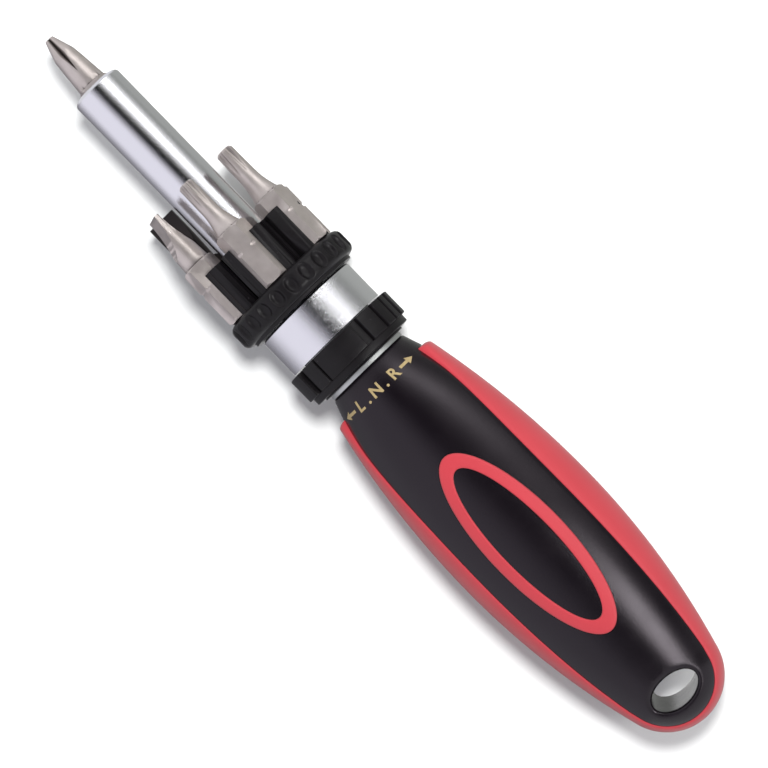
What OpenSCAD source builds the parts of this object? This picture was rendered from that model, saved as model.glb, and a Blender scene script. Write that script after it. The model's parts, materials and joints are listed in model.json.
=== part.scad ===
// Ratcheting screwdriver with one bit in its socket and six more stored round the shaft.
// The tool lies along X with its tip towards -X, and the face of its handle looks up.
// Every station is a distance from the tip of the fitted bit, along the tool's axis.

/* [Bits] */
// Length of one insert bit
bit_l = 25.4; // [24:0.1:28]
// Width of the bit's hexagon across its flats
bit_af = 6.35; // [6.2:0.05:6.5]
// Length of the hexagon
bit_hex_l = 13.3; // [12:0.1:14]
// Distance from the bit's rear end to the notch in its corners
bit_notch_back = 8; // [7:0.1:9.5]
// Radius of the notch's round bottom
bit_notch_r = 0.6; // [0.5:0.05:0.9]
// Depth of the notch in the corners
bit_notch_depth = 0.32; // [0.2:0.02:0.44]
// Chamfer on the ends of the hexagon
bit_chamfer = 0.5; // [0.2:0.05:0.8]
// Tip diameter of the largest six-lobed bit
lobed_large_d = 3.86; // [3.5:0.02:4.2]
// Tip diameter of the middle six-lobed bit
lobed_middle_d = 3.4; // [3:0.02:3.5]
// Tip diameter of the smallest six-lobed bit
lobed_small_d = 2.74; // [2.5:0.02:3]
// Length of the lobes, to where their flutes run out
lobed_l = 6.3; // [5:0.1:7]
// Width of the wide slotted bit's blade
blade_wide_w = 6.2; // [5.4:0.1:6.4]
// Width of the narrow slotted bit's blade
blade_narrow_w = 5; // [4.4:0.1:5.3]
// Thickness of a slotted blade at its tip
blade_t = 1; // [0.8:0.05:1.2]
// Radius of the hollow grind on a slotted blade
blade_grind_r = 21; // [18:0.5:26]
// Diameter of the large cross bit behind its cone
cross_large_d = 4.8; // [4.5:0.05:5.3]
// Diameter of the small cross bit behind its cone
cross_small_d = 4; // [3.7:0.05:4.5]
// Length of a cross bit's cone
cross_cone_l = 4.2; // [3:0.1:5]

/* [Shaft] */
// Outside diameter of the shaft
shaft_d = 11; // [10.4:0.1:11.4]
// Rounding on the shaft's front edge
shaft_edge_r = 0.9; // [0.4:0.1:1.2]
// Depth of the hexagon socket
socket_depth = 12.4; // [11:0.1:13]
// Diameter of the magnet at the socket's end
magnet_d = 5; // [4:0.1:5.6]
// Thickness of the magnet
magnet_t = 3; // [2:0.1:4]
// Wire thickness of the ring that holds the bit
keeper_wire = 0.4; // [0.3:0.05:0.45]
// Width of the ring that holds the bit
keeper_w = 1; // [0.6:0.1:1.4]

/* [Magazine] */
// Length of the clips that hold the stored bits
clip_l = 10.4; // [8:0.1:12]
// Front face of the finger flange, where the clips and the stored bits end
flange_front = 65.4; // [62:0.1:70]
// Thickness of the finger flange
flange_t = 6.1; // [5.4:0.1:7]
// Diameter of the finger flange
flange_d = 29; // [28:0.1:31]
// Rounding of the flange's edges
flange_edge_r = 1.5; // [1:0.1:2]
// Diameter of the flange's rear lip
flange_lip_d = 25.2; // [24:0.1:26]
// Thickness of the flange's rear lip
flange_lip_t = 0.7; // [0.5:0.1:0.9]
// Radius of the circle that the stored bits stand on
bit_circle_r = 10.9; // [10.7:0.05:11.2]
// Wall of a clip round its bit
clip_wall = 1.1; // [0.8:0.05:1.3]
// Diameter that the clips' arms reach
clip_reach_d = 26; // [25.2:0.1:26.4]
// Number of stored bits
channels = 6; // [6:1:6]
// Turn of the first stored bit away from the handle's face, in degrees
magazine_turn = 4.5; // [0:0.5:59.5]
// Number of finger dimples
dimples = 24; // [18:1:26]
// Length of a dimple
dimple_l = 3.4; // [2.4:0.1:3.8]
// Width of a dimple
dimple_w = 2.3; // [1.6:0.1:2.6]
// Depth of a dimple
dimple_depth = 0.6; // [0.3:0.05:0.7]

/* [Ratchet] */
// Gap between the finger flange and the plated collar
flange_gap = 0.2; // [0.15:0.05:0.5]
// Length of the plated collar
collar_l = 8.9; // [8:0.1:10]
// Diameter of the plated collar
collar_d = 22.7; // [21.5:0.1:23.5]
// Front wall of the collar
collar_wall = 1.3; // [1:0.1:1.6]
// Chamfer on the collar's front edge
collar_chamfer = 0.4; // [0.2:0.05:0.8]
// Diameter of the ratchet body
body_d = 17.2; // [17:0.1:17.6]
// Diameter of the body's shoulder, the silver line before the handle
shoulder_d = 18.4; // [17.7:0.1:18.6]
// Thickness of the shoulder
shoulder_t = 0.8; // [0.6:0.1:1]
// Width across the flats of the stem inside the handle
stem_af = 11.2; // [10:0.1:11.6]
// Length of the stem inside the handle
stem_l = 30; // [22:1:40]
// Outside diameter of the bearing bush
bush_d = 12.9; // [12.4:0.1:13]
// Number of teeth on the ratchet gear
teeth = 24; // [24:12:24]
// Tip diameter of the ratchet gear
gear_d = 12; // [11.8:0.1:12.1]
// Depth of a gear tooth
tooth_depth = 0.8; // [0.7:0.05:0.85]
// Length of the ratchet gear
gear_l = 4.4; // [3.6:0.1:4.6]
// Diameter of the shaft inside the gear
gear_seat_d = 8.4; // [7.6:0.1:8.6]
// Width across the two flats inside the gear
gear_flats = 7; // [6:0.1:7.4]
// Distance of the pawl's pivot from the tool's axis
pivot_r = 7.35; // [7.3:0.05:7.4]
// Diameter of the pawl's pivot pin
pivot_d = 1.1; // [0.9:0.05:1.1]
// Rock of the pawl to each side, in degrees
pawl_rock_deg = 6; // [5:0.5:6.5]

/* [Selector] */
// Diameter over the grip pads of the selector ring
selector_d = 25.6; // [24.6:0.1:26.4]
// Diameter between the grip pads
selector_base_d = 23.4; // [22.8:0.1:24]
// Gap between the collar and the selector ring
selector_gap = 0.3; // [0.2:0.05:0.5]
// Diameter of the ring's rear rim
selector_rim_d = 24; // [23.4:0.1:24.4]
// Length of the selector ring
selector_l = 7.5; // [7.2:0.1:7.6]
// Length of the ring's rear rim
selector_rim_l = 1.5; // [1:0.1:2]
// Diameter of the hub behind the ring's rim
selector_hub_d = 20.4; // [19.6:0.1:21.4]
// Length of the hub behind the ring's rim
selector_hub_l = 0.4; // [0.3:0.1:0.7]
// Diameter of the spring plunger
plunger_d = 2; // [1.6:0.1:2.2]
// Height of the spring plunger
plunger_h = 1.5; // [1.3:0.05:1.6]
// Length of the plunger's spring, pressed in its pocket
spring_l = 1.6; // [1.3:0.1:1.7]
// Wire diameter of the plunger's spring
spring_wire = 0.2; // [0.15:0.01:0.24]
// Turns of the plunger's spring
spring_turns = 2; // [2:1:2]

/* [Handle] */
// Radius of the handle's front edge
neck_r = 9.3; // [9.2:0.05:9.6]
// Rounding of the handle's front edge
neck_edge_r = 0.5; // [0.3:0.05:0.8]
// Slope of the neck as it opens out
neck_flare = 0.36; // [0.3:0.01:0.4]
// Softness of the blend from neck to grip
neck_blend = 0.8; // [0.4:0.05:1.2]
// Width of the handle at its belly
belly_w = 33.4; // [32:0.1:36]
// Thickness of the handle at its belly
belly_t = 24.4; // [23.4:0.1:26]
// Distance of the belly from the handle's front
belly_at = 44.7; // [42:0.1:47]
// Distance of the tail's round centre from the handle's front
tail_at = 83.5; // [80:0.1:86]
// Radius of the plan outline before the belly
plan_front_r = 187; // [175:1:220]
// Radius of the plan outline behind the belly
plan_rear_r = 155; // [145:1:175]
// Radius of the side outline before the belly
side_front_r = 500; // [420:5:700]
// Radius of the side outline behind the belly
side_rear_r = 282; // [250:2:340]
// Width of the oval hanging hole, across the handle
hang_w = 10.5; // [9:0.1:11]
// Length of the oval hanging hole, along the handle
hang_l = 6.6; // [5.6:0.1:8]
// Distance of the hanging hole behind the tail's round centre
hang_back = 2.3; // [1.5:0.1:2.8]

/* [Grip] */
// Distance of the red grip from the handle's front
grip_front = 4.2; // [3.8:0.1:5]
// Depth of the grip's groove
grip_depth = 1.8; // [1.4:0.1:2]
// How far the grip stands proud of the handle
grip_proud = 0.45; // [0.3:0.05:0.7]
// Rounding of the grip's front end
grip_round = 0.9; // [0.6:0.1:1.4]
// Half angle of the grip at its front, in degrees
band_front_deg = 20; // [16:1:24]
// Half angle of the grip at the belly, in degrees
band_belly_deg = 40; // [36:1:44]
// Half angle of the grip round the tail, in degrees
band_tail_deg = 32; // [28:1:36]
// Distance of the oval's centre from the handle's front
oval_at = 45.5; // [44:0.1:47]
// Outer length of the oval ring
oval_l = 46; // [44:0.1:48]
// Outer width of the oval ring
oval_w = 15.5; // [14.5:0.1:16.5]
// Inner length of the oval ring
oval_in_l = 39.2; // [37:0.1:40]
// Inner width of the oval ring
oval_in_w = 10.5; // [9.5:0.1:11]
// How far the oval ring stands proud
oval_proud = 0.3; // [0.2:0.05:0.5]
// Depth of the oval's groove below the belly
oval_depth = 2.7; // [2.4:0.1:3]

/* [Hidden] */
$fn = 64;

// Clearances and the overrun of every cut
fit = 0.02;
run_fit = 0.05;
slide_fit = 0.06;
end_play = 0.1;
overrun = 1;

// Bits: shares of the tip and body sizes that give each tip its form
bit_r = bit_af / 2;
bit_corner_r = bit_r / cos(30);
bit_notch_ring_r = bit_corner_r - bit_notch_depth + bit_notch_r;
bit_tip_l = bit_l - bit_hex_l;
tip_root = bit_tip_l + bit_chamfer;
tip_chamfer_share = 0.12;
flare_end_share = 0.92;
flare_steps = 8;
tip_share = 0.5;
lobe_cut_share = 0.17;
lobe_cut_at_share = 0.53;
cross_nose_share = 0.43;
cross_root_share = 0.99;
cross_web_share = 0.26;
cross_flute_deg = 14;
blade_waist_share = 0.9;
drive_turn_deg = 86;
wide_turn_deg = 68;
narrow_turn_deg = 5;

// Shaft and socket
shaft_r = shaft_d / 2;
shaft_front = bit_l - socket_depth;
socket_af = bit_af + 2 * slide_fit;
magnet_front = bit_l + run_fit;
magnet_rear = magnet_front + magnet_t;
keeper_at = bit_l - bit_notch_back;
keeper_in_r = socket_af / 2 / cos(30) + fit;
keeper_out_r = keeper_in_r + keeper_wire;
keeper_gap_deg = 40;

// Stations from the clips back to the handle
clip_front = flange_front - clip_l;
collar_front = flange_front + flange_t + flange_gap;
body_front = collar_front + collar_wall + run_fit;
selector_front = collar_front + collar_l + selector_gap;
body_rear = selector_front + selector_l + end_play;
handle_front = body_rear + shoulder_t;
bush_rear = selector_front + end_play;
gear_front = bush_rear + 2 * end_play;
gear_rear = gear_front + gear_l;
clip_t = 0.6;
gear_clip_front = gear_rear + end_play;
gear_clip_r = shaft_r - end_play;
gear_clip_seat_r = gear_seat_d / 2 - clip_t;
shaft_rear = gear_clip_front + 2 * clip_t;
washer_t = 0.8;
washer_front = shaft_rear + end_play;
cavity_rear = washer_front + washer_t + fit;
washer_r = shaft_r - 3 * end_play;
washer_bore_share = 0.4;
body_r = body_d / 2;
bush_r = bush_d / 2;
cavity_r = bush_r;
gear_r = gear_d / 2;
root_r = gear_r - tooth_depth;
pitch_deg = 360 / teeth;
gap_tip_share = 0.4;
gap_root_share = 0.2;
pin_front = body_front + end_play;
pin_rear = gear_rear + 2 * end_play + washer_t;

// Rocker pawl: each nose is drawn where it meets the gear, then turned back to the middle
nose_deg = 2 * pitch_deg;
nose_end_r = root_r + end_play;
nose_half_w = 0.2;
nose_side_deg = 21;
nose_l = 1.2;
pawl_back_r = body_r - 3 * end_play;
pawl_belly_r = gear_r + 3 * end_play;
pawl_arm_deg = 36;
window_deg = 46;
pawl_front = gear_front + end_play;
pawl_l = gear_l - 2 * end_play;
window_front = pawl_front - 2 * end_play;
window_l = pawl_l + 4 * end_play;
pivot = [0, pivot_r];

// Selector: grip pads as [start, sweep] in degrees over half a turn
selector_pads = [[-50, 48], [4, 8], [18, 32], [56, 8], [70, 8], [84, 34], [124, 5]];
selector_bore_r = body_r + run_fit;
plunger_at = gear_front + gear_l / 2;
plunger_in_r = pawl_back_r + end_play;
plunger_r = plunger_d / 2;
plunger_out_r = plunger_in_r + plunger_h;
spring_out_r = plunger_out_r + spring_l;
boss_wall = 0.8;
boss_cap = 0.3;
spring_r = plunger_r - spring_wire;
spring_sides = 6;
spring_rings = 8;

// Handle surface
lead_deg = asin((tail_at - belly_at) / plan_rear_r);
front_power = 2.4;
tail_power = 2;
edge_power = 8;
face_steps = 7;
band_shares = [-1, -0.94, -0.84, -0.66, -0.34, 0, 0.34, 0.66, 0.84, 0.94, 1];
floor_shares = [1, 0.66, 0, -0.66, -1];
edge_shares = [0, 0.08, 0.3, 0.6, 1];
round_shares = [0.1, 0.3, 0.6];
side_steps = 26;
tail_steps = 20;
oval_points = 56;
oval_rim_shares = [0, 0.12, 0.35, 0.65, 0.88, 1];
band_gap_deg = 0.15;

axis_h = flange_d / 2;
tail_end = handle_front + tail_at + shell_w(tail_at) * cos(lead_deg);

// The tool's own frame: local Z runs along the tool, local Y is up
module lay()
    translate([-tail_end / 2, 0, axis_h]) rotate([90, 0, 90]) children();

// A round piece between two stations
module round_bar(r, from, to)
    translate([0, 0, from]) cylinder(r = r, h = to - from);

// A hexagonal piece between two stations, with one flat looking along +Y
module hex_bar(af, from, to)
    translate([0, 0, from]) cylinder(r = af / 2 / cos(30), h = to - from, $fn = 6);

// A profile of [radius, station] points turned about the tool's axis
module turned(profile)
    rotate_extrude() polygon(profile);

// Insert bits, each with its tip at zero

// Radius of the flare from a slim tip out to the hexagon, at a share of its length
function flare(tip_r, share) = tip_r + (bit_r * flare_end_share - tip_r) * share * share;

// The hexagon with chamfered ends and a notch in its corners
module bit_shank() {
    difference() {
        intersection() {
            hex_bar(bit_af, bit_tip_l, bit_l);
            turned([
                [0, bit_tip_l], [bit_corner_r - bit_chamfer, bit_tip_l],
                [bit_corner_r, bit_tip_l + bit_chamfer], [bit_corner_r, bit_l - bit_chamfer],
                [bit_corner_r - bit_chamfer, bit_l], [0, bit_l]
            ]);
        }
        translate([0, 0, bit_l - bit_notch_back])
            rotate_extrude() translate([bit_notch_ring_r, 0]) circle(bit_notch_r);
    }
}

// A bit with six lobes
module lobed_bit(tip_d) {
    tip_r = tip_d / 2;
    chamfer = tip_d * tip_chamfer_share;
    run_out_deg = atan(tip_d * (tip_share + lobe_cut_share - lobe_cut_at_share) / lobed_l);
    bit_shank();
    difference() {
        turned(concat(
            [[0, 0], [tip_r - chamfer, 0], [tip_r, chamfer]],
            [for (i = [0:flare_steps])
                [flare(tip_r, i / flare_steps), lobed_l + (bit_tip_l - lobed_l) * i / flare_steps]],
            [[bit_r * flare_end_share, tip_root], [0, tip_root]]
        ));
        for (i = [0:5])
            rotate(60 * i) translate([tip_d * lobe_cut_at_share, 0, 0]) rotate([0, run_out_deg, 0])
                translate([0, 0, -overrun]) cylinder(r = tip_d * lobe_cut_share, h = lobed_l + 2 * overrun);
    }
}

// A bit with a cross of four wings, its tip turned against the hexagon
module cross_bit(d, turn) {
    r = d / 2;
    nose_r = r * cross_nose_share;
    bit_shank();
    rotate(turn) difference() {
        turned([
            [0, 0], [nose_r, 0], [r, cross_cone_l],
            [bit_r * cross_root_share, tip_root], [0, tip_root]
        ]);
        for (i = [0:3])
            rotate(90 * i) translate([0, r * cross_web_share, 0]) rotate([-cross_flute_deg, 0, 0])
                rotate(45) translate([0, 0, -overrun]) cube([d, d, bit_l]);
    }
}

// A bit with a hollow-ground blade, its tip turned against the hexagon
module slotted_bit(w, turn) {
    bit_shank();
    rotate(turn) difference() {
        turned([
            [0, 0], [w / 2, 0], [w / 2, bit_tip_l / 2],
            [bit_r * blade_waist_share, tip_root], [0, tip_root]
        ]);
        for (side = [-1, 1])
            translate([0, side * (blade_t / 2 + blade_grind_r), 0]) rotate([0, 90, 0])
                cylinder(r = blade_grind_r, h = w + overrun, center = true);
    }
}

// Places a bit in one of the magazine's clips
module stored(channel)
    rotate(-magazine_turn - channel * 360 / channels)
        translate([0, bit_circle_r, flange_front - end_play - bit_l]) children();

module drive_bit_cross_large()
    color("#a8a09b") lay() cross_bit(cross_large_d, drive_turn_deg);

module stored_bit_lobed_middle()
    color("#a8a09b") lay() stored(0) lobed_bit(lobed_middle_d);

module stored_bit_lobed_small()
    color("#a8a09b") lay() stored(2) lobed_bit(lobed_small_d);

module stored_bit_lobed_large()
    color("#a8a09b") lay() stored(1) lobed_bit(lobed_large_d);

module stored_bit_cross_small()
    color("#a8a09b") lay() stored(3) cross_bit(cross_small_d, 0);

module stored_bit_slotted_wide()
    color("#a8a09b") lay() stored(4) slotted_bit(blade_wide_w, wide_turn_deg);

module stored_bit_slotted_narrow()
    color("#a8a09b") lay() stored(5) slotted_bit(blade_narrow_w, narrow_turn_deg);

// Shaft with the socket in its front and the gear's seat at its rear
module shaft() {
    color("#d8d8e0") lay() difference() {
        union() {
            rotate_extrude() {
                translate([0, shaft_front + shaft_edge_r])
                    square([shaft_r, gear_front - shaft_front - shaft_edge_r]);
                translate([0, shaft_front])
                    square([shaft_r - shaft_edge_r, gear_front - shaft_front]);
                translate([shaft_r - shaft_edge_r, shaft_front + shaft_edge_r])
                    circle(shaft_edge_r);
            }
            difference() {
                gear_seat(0, gear_front - overrun, shaft_rear);
                translate([0, 0, gear_clip_front]) difference() {
                    cylinder(r = shaft_r, h = clip_t);
                    cylinder(r = gear_clip_seat_r, h = clip_t);
                }
            }
        }
        hex_bar(socket_af, shaft_front - overrun, bit_l + run_fit);
        round_bar(magnet_d / 2 + fit, bit_l, magnet_rear + fit);
        round_bar(keeper_out_r + fit, keeper_at - keeper_w / 2 - fit, keeper_at + keeper_w / 2 + fit);
    }
}

// The round seat with two flats that carries the gear
module gear_seat(gap, from, to) {
    intersection() {
        round_bar(gear_seat_d / 2 + gap, from, to);
        translate([-shaft_r, -gear_flats / 2 - gap, from]) cube([shaft_d, gear_flats + 2 * gap, to - from]);
    }
}

module socket_magnet()
    color("#77787c") lay() round_bar(magnet_d / 2, magnet_front, magnet_rear);

// Split wire ring that springs into the notches of the fitted bit
module bit_keeper_ring()
    color("#8c8c92") lay() translate([0, 0, keeper_at - keeper_w / 2])
        rotate(keeper_gap_deg / 2) rotate_extrude(angle = 360 - keeper_gap_deg)
            translate([keeper_in_r, 0]) square([keeper_wire, keeper_w]);

// Oval hollow that a fingertip finds: a spindle, laid along the tool, cut into the flange's edge
module dimple() {
    half_w = dimple_w / 2;
    half_l = dimple_l / 2;
    lift = (half_w * half_w / dimple_depth - dimple_depth) / 2;
    spindle_r = lift + dimple_depth;
    arc_r = (half_l * half_l + dimple_depth * dimple_depth) / (2 * dimple_depth);
    translate([0, flange_d / 2 + lift, 0]) rotate_extrude() intersection() {
        translate([spindle_r - arc_r, 0]) circle(arc_r);
        translate([0, -arc_r]) square([arc_r, 2 * arc_r]);
    }
}

// Six spring clips round a hexagonal core, with the dimpled finger flange behind them
module bit_magazine() {
    flange_r = flange_d / 2;
    rear = flange_front + flange_t;
    lip_front = rear - flange_lip_t;
    edge_in_r = flange_r - flange_edge_r;
    color("#26232a") lay() difference() {
        union() {
            clips(rear);
            rotate_extrude() {
                translate([0, flange_front]) square([edge_in_r, lip_front - flange_front]);
                translate([0, flange_front + flange_edge_r])
                    square([flange_r, lip_front - flange_front - 2 * flange_edge_r]);
                for (at = [flange_front + flange_edge_r, lip_front - flange_edge_r])
                    translate([edge_in_r, at]) circle(flange_edge_r);
                translate([0, lip_front - overrun]) square([flange_lip_d / 2, flange_lip_t + overrun]);
            }
        }
        round_bar(shaft_r + fit, clip_front - overrun, rear + overrun);
        for (i = [0:dimples - 1])
            rotate(i * 360 / dimples - magazine_turn)
                translate([0, 0, (flange_front + lip_front) / 2]) dimple();
    }
}

// The clips round their core, rooted in the flange, with a hexagonal seat for each bit
module clips(rear) {
    root = flange_front + overrun;
    difference() {
        union() {
            rotate(-magazine_turn) hex_bar(2 * bit_circle_r - bit_af / 2, clip_front, root);
            intersection() {
                round_bar(clip_reach_d / 2, clip_front, root);
                at_each_channel() hex_bar(bit_af + 2 * slide_fit + 2 * clip_wall, clip_front, root);
            }
        }
        at_each_channel() hex_bar(bit_af + 2 * slide_fit, clip_front - overrun, rear);
    }
}

// Repeats its children round the magazine, on the circle of the stored bits
module at_each_channel()
    for (i = [0:channels - 1])
        rotate(-magazine_turn - i * 360 / channels) translate([0, bit_circle_r, 0]) children();

// Ratchet gear, one gap between teeth at the top and at each pitch from it
module ratchet_gear() {
    outline = [for (i = [0:teeth - 1], c = [
        [gear_r, -gap_tip_share], [root_r, -gap_root_share],
        [root_r, gap_root_share], [gear_r, gap_tip_share]
    ]) polar(c[0], 90 + (i + c[1]) * pitch_deg)];
    color("#6f7074") lay() difference() {
        translate([0, 0, gear_front + fit]) linear_extrude(gear_l - fit) polygon(outline);
        gear_seat(fit, gear_front - overrun, gear_rear + overrun);
    }
}

function polar(r, deg) = [r * cos(deg), r * sin(deg)];

// Split clip behind the gear
module gear_clip()
    color("#55565a") lay() translate([0, 0, gear_clip_front + fit])
        rotate(90 + keeper_gap_deg) rotate_extrude(angle = 360 - 2 * keeper_gap_deg)
            translate([gear_clip_seat_r + fit, 0])
                square([gear_clip_r - gear_clip_seat_r - fit, clip_t - 2 * fit]);

// Plated cup that covers the front of the ratchet body
module chrome_collar() {
    collar_r = collar_d / 2;
    rear = collar_front + collar_l;
    color("#dcdce4") lay() turned([
        [shaft_r + end_play, collar_front], [collar_r - collar_chamfer, collar_front],
        [collar_r, collar_front + collar_chamfer], [collar_r, rear], [body_r + fit, rear],
        [body_r + fit, collar_front + collar_wall], [shaft_r + end_play, collar_front + collar_wall]
    ]);
}

// Cast body: bearing, gear cavity and pawl window in front, hexagonal stem behind
module ratchet_body() {
    color("#c9cacc") lay() difference() {
        union() {
            round_bar(body_r, body_front, handle_front - shoulder_t / 2);
            round_bar(shoulder_d / 2, body_rear, handle_front);
            hex_bar(stem_af, handle_front - overrun, handle_front + stem_l);
        }
        round_bar(cavity_r + fit, body_front - overrun, cavity_rear);
        translate([0, pivot_r, 0]) round_bar(pivot_d / 2 + fit, body_front - overrun, pin_rear + fit);
        translate([0, 0, window_front]) rotate(90 - window_deg) rotate_extrude(angle = 2 * window_deg)
            translate([root_r, 0]) square([body_r, window_l]);
    }
}

module shaft_bush() {
    color("#a5834f") lay() difference() {
        round_bar(bush_r, body_front + fit, bush_rear);
        round_bar(shaft_r + run_fit, body_front - overrun, bush_rear + overrun);
    }
}

module thrust_washer() {
    color("#8a8b90") lay() difference() {
        round_bar(washer_r, washer_front, washer_front + washer_t);
        round_bar(washer_r * washer_bore_share, washer_front - overrun, washer_front + washer_t + overrun);
    }
}

function turn_about(p, c, deg) = [
    c[0] + (p[0] - c[0]) * cos(deg) - (p[1] - c[1]) * sin(deg),
    c[1] + (p[0] - c[0]) * sin(deg) + (p[1] - c[1]) * cos(deg)
];

// One nose of the pawl, from its inner corner round its end to its outer corner
function nose() = [for (c = [[1, nose_l], [1, 0], [-1, 0], [-1, nose_l]])
    let (half = nose_half_w + c[1] * tan(nose_side_deg), r = nose_end_r + c[1])
        turn_about(turn_about([c[0] * half, r], [0, 0], nose_deg), pivot, -pawl_rock_deg)];

// Rocker pawl with a nose at each end, on its pivot
module direction_pawl() {
    half = concat(
        [polar(pawl_belly_r, 90), polar(pawl_belly_r + end_play, 90 + nose_deg / 2)],
        nose(),
        [polar(pivot_r, 90 + pawl_arm_deg), polar(pawl_back_r - 2 * end_play, 90 + nose_deg / 2)]
    );
    outline = concat(half, [polar(pawl_back_r, 90)],
        [for (i = [len(half) - 1:-1:1]) [-half[i][0], half[i][1]]]);
    color("#64656a") lay() difference() {
        translate([0, 0, pawl_front]) linear_extrude(pawl_l) polygon(outline);
        translate([0, pivot_r, 0]) round_bar(pivot_d / 2 + run_fit, pawl_front - overrun, gear_rear);
    }
}

module pawl_pin()
    color("#9a9ba0") lay() translate([0, pivot_r, 0]) round_bar(pivot_d / 2, pin_front, pin_rear);

// Ring that tips the pawl, with raised pads for the fingers
module selector_ring() {
    rear = selector_front + selector_l;
    rim_rear = rear - selector_hub_l;
    pad_rear = rim_rear - selector_rim_l;
    color("#232026") lay() difference() {
        union() {
            round_bar(selector_hub_d / 2, selector_front + end_play, rear);
            round_bar(selector_base_d / 2, selector_front, rim_rear - end_play);
            round_bar(selector_rim_d / 2, pad_rear - end_play, rim_rear);
            translate([0, 0, plunger_at]) rotate([-90, 0, 0])
                round_bar(plunger_r + boss_wall, body_r + overrun, spring_out_r + boss_cap);
            for (half = [0, 180], pad = selector_pads)
                translate([0, 0, selector_front + end_play]) rotate(90 + half - pad[0] - pad[1])
                    rotate_extrude(angle = pad[1]) translate([body_r + overrun, 0])
                        square([selector_d / 2 - body_r - overrun, pad_rear - selector_front - end_play]);
        }
        round_bar(selector_bore_r, selector_front - overrun, rear + overrun);
        translate([0, 0, plunger_at]) rotate([-90, 0, 0])
            cylinder(r = plunger_r + run_fit, h = spring_out_r);
    }
}

// Plunger with a round nose, which presses on the pawl's back
module selector_plunger() {
    color("#b9babd") lay() translate([0, 0, plunger_at]) rotate([-90, 0, 0]) intersection() {
        round_bar(plunger_r, plunger_in_r, plunger_out_r);
        translate([0, 0, plunger_in_r + plunger_d]) union() {
            sphere(plunger_d);
            cylinder(r = plunger_d, h = plunger_h);
        }
    }
}

// A ring of points round the spring's wire, at one turn of its helix
function spring_ring(deg, rise) = [for (k = [0:spring_sides - 1])
    let (a = k * 360 / spring_sides, r = spring_r + spring_wire / 2 * cos(a))
        [r * cos(deg), r * sin(deg), rise + spring_wire / 2 * sin(a)]];

// Helical spring behind the plunger
module plunger_spring() {
    start = plunger_out_r + spring_wire;
    rise = spring_out_r - start - spring_wire;
    rings = spring_turns * spring_rings;
    points = [for (i = [0:rings]) each spring_ring(i * 360 / spring_rings, start + rise * i / rings)];
    color("#9fa0a5") lay() translate([0, 0, plunger_at]) rotate([-90, 0, 0])
        polyhedron(points, tube_faces(rings + 1, spring_sides));
    echo(spring_least_gap = rise / spring_turns - spring_wire);
}

// Triangles of a closed tube: its sides, and a fan over each end
function tube_faces(rings, sides) = concat(
    [for (i = [0:rings - 2], k = [0:sides - 1])
        let (a = i * sides + k, b = i * sides + (k + 1) % sides)
            each [[a, b, a + sides], [b, b + sides, a + sides]]],
    [for (k = [1:sides - 2]) [0, k + 1, k]],
    [for (k = [1:sides - 2]) let (e = (rings - 1) * sides) [e, e + k, e + k + 1]]
);

// Handle surface, at a distance h behind the handle's front

function arc_drop(x, r) = r - sqrt(r * r - x * x);

function soft_min(a, b, k) = (a + b - sqrt((a - b) * (a - b) + k * k)) / 2;

function shell_w(h) =
    belly_w / 2 - arc_drop(h - belly_at, h < belly_at ? plan_front_r : plan_rear_r);

function shell_t(h) =
    belly_t / 2 - arc_drop(h - belly_at, h < belly_at ? side_front_r : side_rear_r);

function edge_in(h) = h < neck_edge_r ? arc_drop(neck_edge_r - h, neck_edge_r) : 0;

function core_w(h) =
    soft_min(neck_r + neck_flare * h, shell_w(h) - grip_proud, neck_blend) - edge_in(h);

function core_t(h) = soft_min(neck_r + neck_flare * h, shell_t(h), neck_blend) - edge_in(h);

// Height of the handle's face above the axis
function face_h(h, y) = core_t(h) * sqrt(1 - pow(y / core_w(h), 2));

// Half angle that the grip covers on each side
function band_deg(h) = h < belly_at
    ? band_belly_deg - (band_belly_deg - band_front_deg)
        * pow(min(1, (belly_at - h) / (belly_at - grip_front)), front_power)
    : band_belly_deg - (band_belly_deg - band_tail_deg)
        * pow((h - belly_at) / (tail_at - belly_at), tail_power);

// Outward reach of a half section: along the sides, or fanned round the tail by psi
function reach(w, psi) = w * cos(lead_deg) / cos(max(0, lead_deg - min(psi, 180 - psi)));

// A point of the half section at [h, psi], from its distance out and its height
function on_section(s, out, height) =
    [out * cos(s[1]), height, handle_front + s[0] + out * sin(s[1])];

// Sections down the right side, round the tail and back up the left side
function sections(side) = concat(
    [for (h = side) [h, 0]],
    [for (i = [1:tail_steps - 1]) [tail_at, 180 * i / tail_steps]],
    [for (i = [len(side) - 1:-1:0]) [side[i], 180]]
);

grip_sides = [for (i = [0:side_steps]) grip_front + grip_round
    + (tail_at - grip_front - grip_round) * i / side_steps];
neck_sides = concat([for (e = edge_shares) neck_edge_r * e], [grip_front / 3, grip_front * 2 / 3]);

// One half section of the core, from the top ridge down to the bottom one
function core_section(s, groove) =
    let (band = band_deg(s[0]),
        face = [for (i = [0:face_steps]) 90 - (90 - band) * i / face_steps],
        angles = concat([for (f = face) [f, 0]], [for (t = floor_shares) [band * t, groove]],
            [for (i = [face_steps:-1:0]) [-face[i], 0]]))
    [for (a = angles) on_section(s, (reach(core_w(s[0]), s[1]) - a[1]) * cos(a[0]),
        (core_t(s[0]) - a[1]) * sin(a[0]))];

// Triangles over a grid of rows, each row a run of the same number of points
function grid_faces(rows, n) = [for (i = [0:rows - 2], j = [0:n - 2])
    let (a = i * n + j) each [[a, a + 1, a + n], [a + 1, a + n + 1, a + n]]];

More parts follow.
